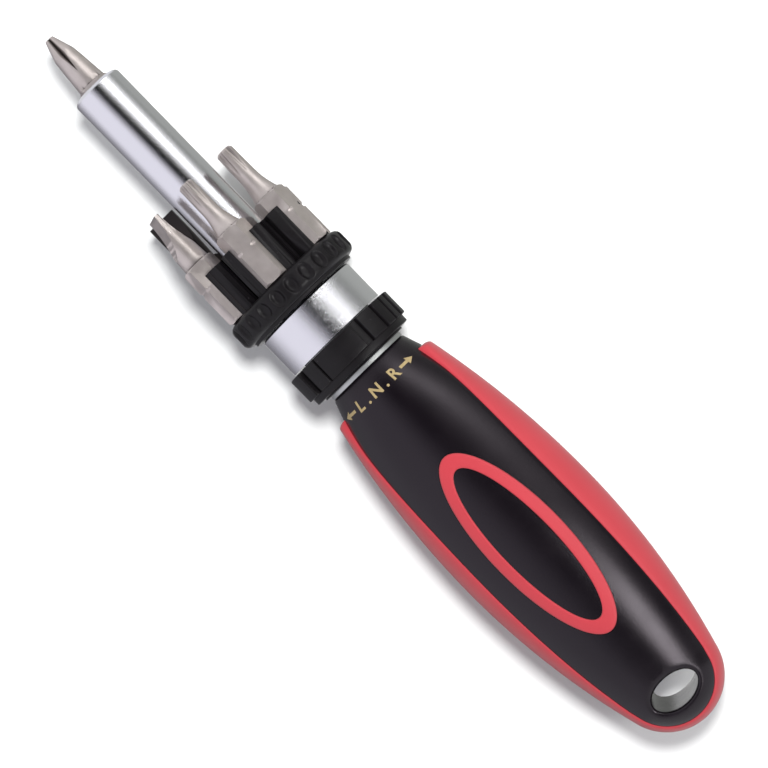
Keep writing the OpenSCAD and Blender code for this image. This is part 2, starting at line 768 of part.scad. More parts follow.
// The solid handle, with the grip's groove sunk into its sides
module handle_form() {
    front = [for (h = concat(neck_sides, [grip_front])) [h, 0, 0]];
    side = concat(front, [for (h = concat([grip_front], grip_sides)) [h, 0, grip_depth]]);
    tail = [for (i = [1:tail_steps - 1]) [tail_at, 180 * i / tail_steps, grip_depth]];
    back = [for (i = [len(side) - 1:-1:0]) [side[i][0], 180, side[i][2]]];
    path = concat(side, tail, back);
    rows = [for (s = path) core_section(s, s[2])];
    n = len(rows[0]);
    last = (len(path) - 1) * n;
    cap = concat([for (j = [0:n - 1]) j], [for (j = [n - 2:-1:1]) last + j]);
    polyhedron([for (r = rows) each r],
        concat(grid_faces(len(path), n), [for (k = [1:len(cap) - 2]) [cap[0], cap[k + 1], cap[k]]]));
}

// Point of an oval about its centre in the handle's plan
function oval_point(l, w, i) = [w / 2 * sin(i * 360 / oval_points), l / 2 * cos(i * 360 / oval_points)];

// Point across the oval ring, from its inner edge at share 0 to its outer edge at share 1
function ring_point(share, i) =
    oval_point(oval_in_l + (oval_l - oval_in_l) * share, oval_in_w + (oval_w - oval_in_w) * share, i);

// Groove for one oval ring, from its flat floor upwards
module oval_groove() {
    translate([0, belly_t / 2 - oval_depth, handle_front + oval_at]) rotate([-90, 0, 0])
        linear_extrude(oval_depth + overrun) difference() {
            polygon([for (i = [0:oval_points - 1]) oval_point(oval_l + 2 * fit, oval_w + 2 * fit, i)]);
            polygon([for (i = [0:oval_points - 1]) oval_point(oval_in_l - 2 * fit, oval_in_w - 2 * fit, i)]);
        }
}

module handle_core() {
    color("#262328") lay() difference() {
        handle_form();
        hex_bar(stem_af + 2 * fit, handle_front - overrun, handle_front + stem_l + end_play);
        translate([0, 0, handle_front + tail_at + hang_back]) rotate([90, 0, 0])
            linear_extrude(belly_t, center = true)
                polygon([for (i = [0:oval_points - 1]) oval_point(hang_l, hang_w, i)]);
        for (side = [0, 1]) mirror([0, side, 0]) oval_groove();
    }
}

// One closed section of the grip: its crowned outside, then its inside
function grip_section(s) =
    let (band = band_deg(s[0]) - band_gap_deg,
        start = min(1, (s[0] - grip_front) / grip_round),
        rise = sqrt(1 - (1 - start) * (1 - start)),
        w = reach(core_w(s[0]), s[1]),
        t = core_t(s[0]),
        proud_w = reach(shell_w(s[0]), s[1]) - w)
    concat(
        [for (k = band_shares) let (e = rise * sqrt(1 - pow(k, edge_power)))
            on_section(s, (w + proud_w * e) * cos(band * k), (t + grip_proud * e) * sin(band * k))],
        [for (i = [len(band_shares) - 1:-1:0]) let (k = band_shares[i], in = grip_depth - fit)
            on_section(s, (w - in) * cos(band * k), (t - in) * sin(band * k))]
    );

// Red grip: one soft band down both sides and round the tail
module side_grip() {
    round_sides = [for (r = round_shares) grip_front + grip_round * r];
    path = sections(concat([grip_front + fit], round_sides, grip_sides));
    rows = [for (s = path) grip_section(s)];
    n = len(rows[0]);
    half = len(band_shares);
    last = (len(path) - 1) * n;
    walls = [for (i = [0:len(path) - 2], j = [0:n - 1])
        let (a = i * n + j, b = i * n + (j + 1) % n) each [[a, b, a + n], [b, b + n, a + n]]];
    ends = [for (j = [0:half - 2]) let (a = j, b = j + 1, c = n - 1 - j, d = n - 2 - j)
        each [[a, c, b], [b, c, d], [last + a, last + b, last + c], [last + b, last + d, last + c]]];
    color("#d8434e") lay() polyhedron([for (r = rows) each r], concat(walls, ends));
}

// One section across the oval ring: a flat floor, and a crown that follows the handle's face
function oval_section(i) =
    let (low = belly_t / 2 - oval_depth + fit)
    concat(
        [for (k = oval_rim_shares)
            let (p = ring_point(k, i), crown = oval_proud * sqrt(1 - pow(2 * k - 1, edge_power)))
                [p[0], face_h(oval_at + p[1], p[0]) + crown, handle_front + oval_at + p[1]]],
        [for (k = [1, 0])
            let (p = ring_point(k, i))
                [p[0], low, handle_front + oval_at + p[1]]]
    );

// Red oval ring let into the handle's face
module oval_ring() {
    rows = [for (i = [0:oval_points - 1]) oval_section(i)];
    n = len(rows[0]);
    faces = [for (i = [0:oval_points - 1], j = [0:n - 1])
        let (a = i * n, b = ((i + 1) % oval_points) * n, k = (j + 1) % n)
            each [[a + j, b + j, a + k], [a + k, b + j, b + k]]];
    polyhedron([for (r = rows) each r], faces);
}

module front_oval_ring()
    color("#d8434e") lay() oval_ring();

module rear_oval_ring()
    color("#d8434e") lay() mirror([0, 1, 0]) oval_ring();

drive_bit_cross_large();
stored_bit_lobed_middle();
stored_bit_lobed_small();
stored_bit_lobed_large();
stored_bit_cross_small();
stored_bit_slotted_wide();
stored_bit_slotted_narrow();
shaft();
socket_magnet();
bit_keeper_ring();
bit_magazine();
ratchet_gear();
gear_clip();
chrome_collar();
ratchet_body();
shaft_bush();
thrust_washer();
direction_pawl();
pawl_pin();
selector_ring();
selector_plunger();
plunger_spring();
handle_core();
side_grip();
front_oval_ring();
rear_oval_ring();
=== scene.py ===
import bpy
import json
import math
from mathutils import Matrix, Vector


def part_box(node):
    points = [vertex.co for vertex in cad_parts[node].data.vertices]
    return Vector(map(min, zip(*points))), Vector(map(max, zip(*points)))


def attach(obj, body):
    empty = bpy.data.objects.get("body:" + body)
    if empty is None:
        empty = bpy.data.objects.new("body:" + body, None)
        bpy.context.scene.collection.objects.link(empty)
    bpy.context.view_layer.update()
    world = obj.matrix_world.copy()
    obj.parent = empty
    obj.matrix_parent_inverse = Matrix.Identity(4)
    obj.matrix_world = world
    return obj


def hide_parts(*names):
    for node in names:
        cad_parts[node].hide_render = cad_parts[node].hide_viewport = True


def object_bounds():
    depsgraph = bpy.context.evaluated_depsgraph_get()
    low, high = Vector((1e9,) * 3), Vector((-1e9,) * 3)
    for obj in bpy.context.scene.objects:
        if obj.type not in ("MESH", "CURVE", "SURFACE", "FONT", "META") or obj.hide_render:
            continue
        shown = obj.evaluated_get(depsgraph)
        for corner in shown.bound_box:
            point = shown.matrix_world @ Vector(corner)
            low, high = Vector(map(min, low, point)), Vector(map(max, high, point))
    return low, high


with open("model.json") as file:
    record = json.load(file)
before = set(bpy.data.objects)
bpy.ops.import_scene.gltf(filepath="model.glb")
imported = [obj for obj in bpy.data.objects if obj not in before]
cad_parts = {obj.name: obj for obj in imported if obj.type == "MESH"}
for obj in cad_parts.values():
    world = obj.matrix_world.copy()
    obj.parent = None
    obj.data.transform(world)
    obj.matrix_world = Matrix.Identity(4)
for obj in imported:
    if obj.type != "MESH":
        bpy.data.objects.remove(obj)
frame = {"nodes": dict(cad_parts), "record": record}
cadLow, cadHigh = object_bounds()
nodes = frame["nodes"]

mm = 0.001
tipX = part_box("drive_bit_cross_large")[0].x
shaftLow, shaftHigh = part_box("shaft")
axisZ = (shaftLow.z + shaftHigh.z) / 2
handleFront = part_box("handle_core")[0].x
print("frame:", len(nodes), "nodes, axis", round(axisZ / mm, 2), "mm above the floor")


# Working tools

tolerance = {"weld": 0.002, "mirror": 0.005, "plane": 0.01, "flatDegrees": 0.3}  # millimetres, and degrees


def activate(piece):
    bpy.ops.object.select_all(action="DESELECT")
    piece.select_set(True)
    bpy.context.view_layer.objects.active = piece


def applyModifiers(piece):
    activate(piece)
    for modifier in list(piece.modifiers):
        bpy.ops.object.modifier_apply(modifier=modifier.name)


def enterEdit(piece):
    # edit mode, with the whole mesh selected
    activate(piece)
    bpy.ops.object.mode_set(mode="EDIT")
    bpy.ops.mesh.select_all(action="SELECT")


def leaveEdit():
    bpy.ops.object.mode_set(mode="OBJECT")


def weld(piece, gap=tolerance["weld"] * mm):
    # merges the doubles and turns every face outwards
    enterEdit(piece)
    bpy.ops.mesh.remove_doubles(threshold=gap)
    bpy.ops.mesh.normals_make_consistent(inside=False)
    leaveEdit()


def capHoles(piece):
    enterEdit(piece)
    bpy.ops.mesh.fill_holes(sides=0)
    bpy.ops.mesh.normals_make_consistent(inside=False)
    leaveEdit()


def smoothBy(piece, degrees):
    activate(piece)
    bpy.ops.object.shade_smooth_by_angle(angle=math.radians(degrees))


def raiseToAxis(piece, front=handleFront):
    # forms are laid about the tool's axis, then lifted to its height
    activate(piece)
    piece.location = (front, 0, axisZ)
    bpy.ops.object.transform_apply(location=True, rotation=False, scale=False)


def layGrid(name, rows):
    # a flat grid whose points are laid on a form, row by row, in millimetres
    bpy.ops.object.select_all(action="DESELECT")
    bpy.ops.mesh.primitive_grid_add(
        x_subdivisions=len(rows) - 1, y_subdivisions=len(rows[0]) - 1, size=1
    )
    piece = bpy.context.object
    piece.name = piece.data.name = name
    for vertex in piece.data.vertices:
        row = round((vertex.co.x + 0.5) * (len(rows) - 1))
        column = round((vertex.co.y + 0.5) * (len(rows[0]) - 1))
        vertex.co = Vector(rows[row][column]) * mm
    return piece


def mirrorQuarter(piece):
    # a quarter of a form becomes the whole, over its width and its height
    weld(piece)
    mirror = piece.modifiers.new("halves", "MIRROR")
    mirror.use_axis = (False, True, True)
    mirror.merge_threshold = tolerance["mirror"] * mm
    applyModifiers(piece)


def easeEdges(piece, width, degrees):
    bevel = piece.modifiers.new("easedEdges", "BEVEL")
    bevel.width = width * mm
    bevel.segments = 2
    bevel.limit_method = "ANGLE"
    bevel.angle_limit = math.radians(degrees)
    applyModifiers(piece)


def copySolid(nodeName, name):
    # a solid's mesh as a piece of its own, merged, with its flat faces whole again
    piece = bpy.data.objects.new(name, nodes[nodeName].data.copy())
    bpy.context.scene.collection.objects.link(piece)
    weld(piece)
    enterEdit(piece)
    bpy.ops.mesh.dissolve_limited(angle_limit=math.radians(tolerance["flatDegrees"]))
    leaveEdit()
    return piece


def finishPiece(piece, material, slot, body, *standsFor):
    piece.data.materials.clear()
    piece.data.materials.append(material)
    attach(piece, body)
    if standsFor:
        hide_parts(*standsFor)


# Materials

def hexToLinear(code):
    channels = [int(code[i:i + 2], 16) / 255 for i in (1, 3, 5)]
    return [c / 12.92 if c <= 0.04045 else ((c + 0.055) / 1.055) ** 2.4 for c in channels] + [1]


def addNode(tree, kind, inputs=None, **settings):
    node = tree.nodes.new("ShaderNode" + kind)
    for name, value in settings.items():
        setattr(node, name, value)
    for socket, value in (inputs or {}).items():
        if isinstance(value, bpy.types.NodeSocket):
            tree.links.new(value, node.inputs[socket])
        else:
            node.inputs[socket].default_value = value
    return node


def newMaterial(name):
    material = bpy.data.materials.new(name)
    material.use_nodes = True
    material.node_tree.nodes.clear()
    return material, material.node_tree


def perMm(size):
    # texture scale that gives features of that size in millimetres
    return 1 / (size * mm)


def satinBlackHandle():
    # moulded polypropylene from a fine-eroded tool: deep black with a faint plum cast and a soft highlight
    # its fine grain is drawn coarser than the real one, so that it shows
    material, tree = newMaterial("satinBlackPolypropylene")
    place = addNode(tree, "TexCoord").outputs["Object"]
    grain = addNode(tree, "TexNoise", {"Vector": place, "Scale": perMm(0.3), "Detail": 2, "Roughness": 0.6})
    cloud = addNode(tree, "TexNoise", {"Vector": place, "Scale": perMm(7), "Detail": 4})
    rough = addNode(tree, "MapRange", {"Value": cloud.outputs["Fac"], "From Min": 0.3, "From Max": 0.7,
                                       "To Min": 0.21, "To Max": 0.27})
    tone = addNode(tree, "ValToRGB", {"Fac": cloud.outputs["Fac"]})
    tone.color_ramp.elements[0].color = hexToLinear("#070508")
    tone.color_ramp.elements[1].color = hexToLinear("#0B070B")
    bump = addNode(tree, "Bump", {"Height": grain.outputs["Fac"], "Strength": 0.5, "Distance": 0.05 * mm})
    shader = addNode(tree, "BsdfPrincipled", {
        "Base Color": tone.outputs["Color"], "Roughness": rough.outputs["Result"], "IOR": 1.49,
        "Specular IOR Level": 0.42, "Specular Tint": hexToLinear("#FFF4FD"),
        "Normal": bump.outputs["Normal"]})
    addNode(tree, "OutputMaterial", {"Surface": shader.outputs["BSDF"]})
    return material


def redRubber():
    # soft overmoulded elastomer: matt red with a dry bloom, its fine skin drawn coarser so that it shows
    material, tree = newMaterial("redElastomer")
    place = addNode(tree, "TexCoord").outputs["Object"]
    skin = addNode(tree, "TexNoise", {"Vector": place, "Scale": perMm(0.35), "Detail": 3, "Roughness": 0.6})
    cloud = addNode(tree, "TexNoise", {"Vector": place, "Scale": perMm(9), "Detail": 4})
    tone = addNode(tree, "ValToRGB", {"Fac": cloud.outputs["Fac"]})
    tone.color_ramp.elements[0].color = hexToLinear("#952830")
    tone.color_ramp.elements[1].color = hexToLinear("#9D2C34")
    rough = addNode(tree, "MapRange", {"Value": cloud.outputs["Fac"], "To Min": 0.5, "To Max": 0.62})
    bump = addNode(tree, "Bump", {"Height": skin.outputs["Fac"], "Strength": 0.25, "Distance": 0.03 * mm})
    shader = addNode(tree, "BsdfPrincipled", {
        "Base Color": tone.outputs["Color"], "Roughness": rough.outputs["Result"], "IOR": 1.5,
        "Sheen Weight": 0.08, "Sheen Roughness": 0.5, "Normal": bump.outputs["Normal"]})
    addNode(tree, "OutputMaterial", {"Surface": shader.outputs["BSDF"]})
    return material


def platedMetal(name, tint, roughness, grainMm, grainDepth):
    # plating over a turned or blasted surface: mirror bands whose borders break up into grain
    # the grain is drawn coarser than real plating pits, so that it shows
    material, tree = newMaterial(name)
    place = addNode(tree, "TexCoord").outputs["Object"]
    pits = addNode(tree, "TexNoise", {"Vector": place, "Scale": perMm(grainMm), "Detail": 2,
                                      "Roughness": 0.6})
    cloud = addNode(tree, "TexNoise", {"Vector": place, "Scale": perMm(5), "Detail": 3})
    rough = addNode(tree, "MapRange", {"Value": cloud.outputs["Fac"], "To Min": roughness * 0.7,
                                       "To Max": roughness * 1.3})
    bump = addNode(tree, "Bump", {"Height": pits.outputs["Fac"], "Strength": 1, "Distance": grainDepth * mm})
    shader = addNode(tree, "BsdfPrincipled", {
        "Base Color": hexToLinear(tint), "Metallic": 1, "Roughness": rough.outputs["Result"],
        "Normal": bump.outputs["Normal"]})
    addNode(tree, "OutputMaterial", {"Surface": shader.outputs["BSDF"]})
    return material


def toolSteel():
    # bead-blasted bit steel: warm grey, half matt, with painted shade darkening its flutes and hollows
    # its pits are drawn coarser than the real bead marks, so that they show
    material, tree = newMaterial("blastedToolSteel")
    place = addNode(tree, "TexCoord").outputs["Object"]
    pits = addNode(tree, "TexNoise", {"Vector": place, "Scale": perMm(0.3), "Detail": 3, "Roughness": 0.6})
    cloud = addNode(tree, "TexNoise", {"Vector": place, "Scale": perMm(2.5), "Detail": 4})
    tone = addNode(tree, "ValToRGB", {"Fac": cloud.outputs["Fac"]})
    tone.color_ramp.elements[0].color = hexToLinear("#AAA19D")
    tone.color_ramp.elements[1].color = hexToLinear("#CEC6C2")
    # painted shade: an occlusion pass darkens the flutes and hollows towards dark brown, standing in for the
    # shade that falls there
    hidden = addNode(tree, "AmbientOcclusion", {"Distance": 1.5 * mm}, samples=12, only_local=True)
    unshadedShare = addNode(tree, "MapRange", {"Value": hidden.outputs["AO"], "From Min": 0.64, "From Max": 0.97})
    shadedTone = addNode(tree, "Mix", {"Factor": unshadedShare.outputs["Result"], 6: hexToLinear("#3A3230"),
                                   7: tone.outputs["Color"]}, data_type="RGBA")
    rough = addNode(tree, "MapRange", {"Value": cloud.outputs["Fac"], "To Min": 0.3, "To Max": 0.4})
    bump = addNode(tree, "Bump", {"Height": pits.outputs["Fac"], "Strength": 0.8, "Distance": 0.04 * mm})
    shader = addNode(tree, "BsdfPrincipled", {
        "Base Color": shadedTone.outputs[2], "Metallic": 0.85, "Roughness": rough.outputs["Result"],
        "Normal": bump.outputs["Normal"]})
    addNode(tree, "OutputMaterial", {"Surface": shader.outputs["BSDF"]})
    return material


def blackNylon():
    # moulded nylon: dull black, handled, with a few pale specks of dust
    material, tree = newMaterial("mattBlackNylon")
    place = addNode(tree, "TexCoord").outputs["Object"]
    grain = addNode(tree, "TexNoise", {"Vector": place, "Scale": perMm(0.4), "Detail": 4, "Roughness": 0.6})
    cloud = addNode(tree, "TexNoise", {"Vector": place, "Scale": perMm(3), "Detail": 5})
    dust = addNode(tree, "TexNoise", {"Vector": place, "Scale": perMm(0.7), "Detail": 5, "Roughness": 0.7})
    specks = addNode(tree, "MapRange", {"Value": dust.outputs["Fac"], "From Min": 0.68, "From Max": 0.76})
    tone = addNode(tree, "ValToRGB", {"Fac": cloud.outputs["Fac"]})
    tone.color_ramp.elements[0].color = hexToLinear("#0A090A")
    tone.color_ramp.elements[1].color = hexToLinear("#121012")
    dusty = addNode(tree, "Mix", {"Factor": specks.outputs["Result"], 6: tone.outputs["Color"],
                                  7: hexToLinear("#4A464B")}, data_type="RGBA")
    rough = addNode(tree, "MapRange", {"Value": cloud.outputs["Fac"], "To Min": 0.28, "To Max": 0.42})
    bump = addNode(tree, "Bump", {"Height": grain.outputs["Fac"], "Strength": 0.5, "Distance": 0.04 * mm})
    shader = addNode(tree, "BsdfPrincipled", {
        "Base Color": dusty.outputs[2], "Roughness": rough.outputs["Result"], "IOR": 1.53,
        "Specular IOR Level": 0.19, "Normal": bump.outputs["Normal"]})
    addNode(tree, "OutputMaterial", {"Surface": shader.outputs["BSDF"]})
    return material


def goldMarking():
    # hot-stamped foil: pale gold, rubbed thin in places
    material, tree = newMaterial("stampedGoldFoil")
    place = addNode(tree, "TexCoord").outputs["Object"]
    rub = addNode(tree, "TexNoise", {"Vector": place, "Scale": perMm(0.8), "Detail": 4})
    tone = addNode(tree, "ValToRGB", {"Fac": rub.outputs["Fac"]})
    tone.color_ramp.elements[0].color = hexToLinear("#84734F")
    tone.color_ramp.elements[1].color = hexToLinear("#A8966E")
    rough = addNode(tree, "MapRange", {"Value": rub.outputs["Fac"], "To Min": 0.4, "To Max": 0.6})
    shader = addNode(tree, "BsdfPrincipled", {"Base Color": tone.outputs["Color"], "Metallic": 0.35,
                                              "Roughness": rough.outputs["Result"]})
    addNode(tree, "OutputMaterial", {"Surface": shader.outputs["BSDF"]})
    return material


finishes = {
    "black_handle": satinBlackHandle(),
    "red_grip": redRubber(),
    "satin_chrome": platedMetal("brightChromePlate", "#E8E8EC", 0.04, 0.22, 0.03),
    "cast_zinc": platedMetal("satinDieCastZinc", "#C9CBCA", 0.45, 0.4, 0.03),
    "bit_steel": toolSteel(),
    "black_nylon": blackNylon(),
    "hard_steel": platedMetal("oilBlackSteel", "#6A6A70", 0.35, 0.3, 0.01),
    "spring_steel": platedMetal("drawnSpringSteel", "#9A9AA0", 0.28, 0.2, 0.006),
    "bush_bronze": platedMetal("sinteredBronze", "#B98D55", 0.38, 0.25, 0.012),
    "magnet": platedMetal("sinteredMagnet", "#77777C", 0.45, 0.3, 0.012),
}
grainyCollarPlate = platedMetal("grainyChromePlate", "#E8E8EC", 0.05, 0.2, 0.045)
# painted shade: a darker steel for the stored wide slotted bit, standing in for the shade it lies in below
# the shaft
shadowSteel = platedMetal("blackOxideSteel", "#3C3838", 0.34, 0.25, 0.01)
goldFoil = goldMarking()
slotOf = {row["node"]: row["material_slot"] for row in frame["record"]["subparts"]}
for name, node in nodes.items():
    node.data.materials.clear()
    node.data.materials.append(finishes[slotOf[name]])
nodes["chrome_collar"].data.materials[0] = grainyCollarPlate
print("materials:", len(finishes), "finishes on", len(nodes), "nodes")


# Handle form, in millimetres behind the handle's front and about its axis

handle = {
    "neckRadius": 9.3, "neckFlare": 0.36, "neckBlend": 0.8, "neckEdge": 0.5,
    "bellyWidth": 33.4, "bellyThickness": 24.4, "bellyAt": 44.7, "tailAt": 83.5,
    "planFrontRadius": 187, "planRearRadius": 155, "sideFrontRadius": 500, "sideRearRadius": 282,
    "hangLength": 6.6, "hangWidth": 10.5, "hangBack": 2.3, "hangRim": 1.3,
    "partingEdge": 0.14, "partingDegrees": 50, "smoothDegrees": 40,
}
grip = {
    "front": 4.2, "depth": 1.8, "proud": 0.45, "frontRound": 0.9, "gapDegrees": 0.25,
    "frontDegrees": 20, "bellyDegrees": 40, "tailDegrees": 32, "frontPower": 2.4, "tailPower": 2,
    "edgePower": 8, "seatGap": 0.02, "frontGap": 0.03, "smoothDegrees": 45,
}
# rows run along the handle and turn about the hanging hole, columns run from the ridge to the band's seat
handleGrid = {
    "neckFrom": 0.9, "ridgeEven": 60, "ridgeStep": 0.8, "sideAtRim": 73, "arcLength": 14.5,
    "edgeRows": 6, "neckRows": 8, "bodyRows": 64, "ridgeRows": 26, "holeRows": 56, "faceColumns": 14,
    "rimRows": (0.2, 0.4, 0.58, 0.74, 0.87, 0.95, 1),
    "rimColumns": (0, 0.02, 0.08, 0.2, 0.38, 0.6, 0.85, 1.1, 1.3),
    "wallColumns": (0, 0.3, 0.6, 0.85),
    "seatColumns": (1, 0.86, 0.72, 0.58, 0.44, 0.3, 0.15, 0),
}
gripGrid = {
    "frontRows": (0, 0.04, 0.12, 0.25, 0.42, 0.62, 0.82), "sideRows": 90, "tailRows": 40,
    "crownColumns": (0, 0.15, 0.3, 0.45, 0.6, 0.72, 0.82, 0.89, 0.935, 0.965, 0.985, 0.996, 1),
    "seatColumns": (1, 0.75, 0.5, 0.25, 0),
}
hangAt = handle["tailAt"] + handle["hangBack"]
leadAngle = math.asin((handle["tailAt"] - handle["bellyAt"]) / handle["planRearRadius"])


def arcDrop(x, radius):
    return radius - math.sqrt(radius * radius - x * x)


def softMin(a, b, blend):
    return (a + b - math.hypot(a - b, blend)) / 2


def shellWidth(h):
    radius = handle["planFrontRadius"] if h < handle["bellyAt"] else handle["planRearRadius"]
    return handle["bellyWidth"] / 2 - arcDrop(h - handle["bellyAt"], radius)


def shellThickness(h):
    radius = handle["sideFrontRadius"] if h < handle["bellyAt"] else handle["sideRearRadius"]
    return handle["bellyThickness"] / 2 - arcDrop(h - handle["bellyAt"], radius)


def neckLimit(h, shell):
    edge = handle["neckEdge"]
    turnedIn = arcDrop(edge - h, edge) if h < edge else 0
    return softMin(handle["neckRadius"] + handle["neckFlare"] * h, shell, handle["neckBlend"]) - turnedIn


def coreWidth(h):
    return neckLimit(h, shellWidth(h) - grip["proud"])


def coreThickness(h):
    return neckLimit(h, shellThickness(h))


def bandAngle(h):
    # half angle of the red band, as seen from the handle's axis
    belly = handle["bellyAt"]
    if h < belly:
        share = min(1, (belly - h) / (belly - grip["front"])) ** grip["frontPower"]
        return math.radians(grip["bellyDegrees"] - (grip["bellyDegrees"] - grip["frontDegrees"]) * share)
    share = ((h - belly) / (handle["tailAt"] - belly)) ** grip["tailPower"]
    return math.radians(grip["bellyDegrees"] - (grip["bellyDegrees"] - grip["tailDegrees"]) * share)


def reach(width, psi):
    return width * math.cos(leadAngle) / math.cos(max(0, leadAngle - psi))


def onSection(h, psi, out, height):
    return (h + out * math.sin(psi), out * math.cos(psi), height)


def awayFromHole(x, y):
    # distance of a point of the plan from the oval hole's edge
    long, wide = handle["hangLength"] / 2, handle["hangWidth"] / 2
    reached = math.hypot((x - hangAt) / long, y / wide)
    return reached * (reached - 1) / max(0.001, math.hypot((x - hangAt) / long ** 2, y / wide ** 2))


def faceHeight(x, y):
    # height of the black face over a point of the plan, with the rounded rim of the hanging hole
    tail = handle["tailAt"]
    if x <= tail:
        share = y / coreWidth(x)
    else:
        share = math.hypot(x - tail, y) / reach(coreWidth(tail), math.atan2(x - tail, abs(y)))
    height = coreThickness(min(x, tail)) * math.sqrt(max(0, 1 - share * share))
    rim = handle["hangRim"]
    away = awayFromHole(x, y)
    return height - (arcDrop(rim - max(away, 0), rim) if away < rim else 0)


def spread(low, high, count):
    return [low + (high - low) * i / count for i in range(count + 1)]


def handleRows():
    # each row: where it starts on the ridge or on the hole's rim, its side station, and its groove depth
    grid = handleGrid
    even, sideAtRim = grid["ridgeEven"], grid["sideAtRim"]
    front, depth = grip["front"], grip["depth"]
    halfLength, halfWidth = handle["hangLength"] / 2, handle["hangWidth"] / 2
    rimFront = hangAt - halfLength
    neck = spread(0, handle["neckEdge"], grid["edgeRows"]) + spread(grid["neckFrom"], front, grid["neckRows"])
    rows = [((h, 0), (h, 0), 0) for h in neck]
    rows += [((h, 0), (h, 0), depth) for h in spread(front, even, grid["bodyRows"])]
    ridge = spread(even + grid["ridgeStep"], rimFront - handle["hangRim"], grid["ridgeRows"])
    ridge += [rimFront - handle["hangRim"] * (1 - share) for share in grid["rimRows"]]
    squeeze = (sideAtRim - even) / (rimFront - even)
    rows += [((h, 0), (even + (h - even) * squeeze, 0), depth) for h in ridge]
    straight = handle["tailAt"] - sideAtRim
    for share in spread(0, 1, grid["holeRows"])[1:]:
        turn = math.pi * (1 - share)
        start = (hangAt + halfLength * math.cos(turn), halfWidth * math.sin(turn))
        along = share * (straight + grid["arcLength"])
        psi = max(0, along - straight) / grid["arcLength"] * math.pi / 2
        rows.append((start, (sideAtRim + min(along, straight), psi), depth))
    return rows


def coreRow(start, side, depth):
    h, psi = side
    band = bandAngle(h)
    wide = reach(coreWidth(h), psi)
    tall = coreThickness(h)
    edge = onSection(h, psi, wide * math.cos(band), 0)
    run = math.hypot(edge[0] - start[0], edge[1] - start[1])
    onRim = start[1] > 0 or start[0] >= hangAt
    shares = [step / run for step in handleGrid["rimColumns"]]
    shares += spread(shares[-1], 1, handleGrid["faceColumns"])[1:]
    points = []
    for share in shares:
        x = start[0] + (edge[0] - start[0]) * share
        y = start[1] + (edge[1] - start[1]) * share
        points.append((x, y, faceHeight(x, y)))
    rimHeight = points[0][2]
    wall = [(start[0], start[1], rimHeight * part if onRim else rimHeight)
            for part in handleGrid["wallColumns"]]
    seat = [onSection(h, psi, (wide - depth) * math.cos(band * part), (tall - depth) * math.sin(band * part))
            for part in handleGrid["seatColumns"]]
    return wall + points + seat


oval = {
    "at": 45.5, "length": 46, "width": 15.5, "innerLength": 39.2, "innerWidth": 10.5,
    "proud": 0.3, "sunk": 1.0, "grooveShare": 0.035, "grooveDepth": 1.03, "grooveTop": 1,
    "turns": 144, "smoothDegrees": 45,
    "crownColumns": (0, 0.012, 0.04, 0.09, 0.17, 0.3, 0.5, 0.7, 0.83, 0.91, 0.96, 0.988, 1),
    "seatColumns": (1, 0.5, 0),
}


def ovalPoint(share, turn):
    length = oval["innerLength"] + (oval["length"] - oval["innerLength"]) * share
    width = oval["innerWidth"] + (oval["width"] - oval["innerWidth"]) * share
    return oval["at"] + length / 2 * math.cos(turn), width / 2 * math.sin(turn)


def cutOvalGroove(piece, side):
    # the seat of an oval ring, a little wider than the ring, so that a dark line parts them
    gap, depth, top = oval["grooveShare"], oval["grooveDepth"], oval["grooveTop"]
    corners = [(-gap, -depth), (1 + gap, -depth), (1 + gap, top), (-gap, top)]
    rows = []
    for turn in spread(0, 2 * math.pi, oval["turns"]):
        row = []
        for share, lift in corners + corners[:1]:
            x, y = ovalPoint(share, turn)
            row.append((x, y, (faceHeight(x, y) + lift) * side))
        rows.append(row)
    cutter = layGrid("ovalGroove", rows)
    weld(cutter)
    groove = piece.modifiers.new("ovalGroove", "BOOLEAN")
    groove.object = cutter
    groove.operation = "DIFFERENCE"
    groove.solver = "EXACT"
    applyModifiers(piece)
    bpy.data.objects.remove(cutter)


def buildHandleCore():
    piece = layGrid("handleCore", [coreRow(*row) for row in handleRows()])
    mirrorQuarter(piece)
    easeEdges(piece, handle["partingEdge"], handle["partingDegrees"])
    capHoles(piece)
    for side in (1, -1):
        cutOvalGroove(piece, side)
    smoothBy(piece, handle["smoothDegrees"])
    raiseToAxis(piece)
    finishPiece(piece, finishes["black_handle"], "black_handle", "handle", "handle_core")


def gripRow(h, psi):
    # crown of the band from its middle to its edge, then back along its seat
    band = bandAngle(h) - math.radians(grip["gapDegrees"])
    start = min(1, max(0, h - grip["front"]) / grip["frontRound"])
    rise = math.sqrt(1 - (1 - start) ** 2)
    wide = reach(coreWidth(h), psi)
    tall = coreThickness(h)
    proudSide = reach(shellWidth(h), psi) - wide
    seat = grip["depth"] - grip["seatGap"]
    row = []
    for share in gripGrid["crownColumns"]:
        lift = rise * math.sqrt(1 - share ** grip["edgePower"])
        row.append(onSection(h, psi, (wide + proudSide * lift) * math.cos(band * share),
                             (tall + grip["proud"] * lift) * math.sin(band * share)))
    for share in gripGrid["seatColumns"]:
        row.append(onSection(h, psi, (wide - seat) * math.cos(band * share),
                             (tall - seat) * math.sin(band * share)))
    return row


def buildSideGrip():
    front, tail = grip["front"] + grip["frontGap"], handle["tailAt"]
    sides = [front + grip["frontRound"] * share for share in gripGrid["frontRows"]]
    sides += spread(front + grip["frontRound"], tail, gripGrid["sideRows"])
    stations = [(h, 0) for h in sides]
    stations += [(tail, psi) for psi in spread(0, math.pi / 2, gripGrid["tailRows"])[1:]]
    piece = layGrid("sideGrip", [gripRow(*station) for station in stations])
    mirrorQuarter(piece)
    capHoles(piece)
    smoothBy(piece, grip["smoothDegrees"])
    raiseToAxis(piece)
    finishPiece(piece, finishes["red_grip"], "red_grip", "handle", "side_grip")


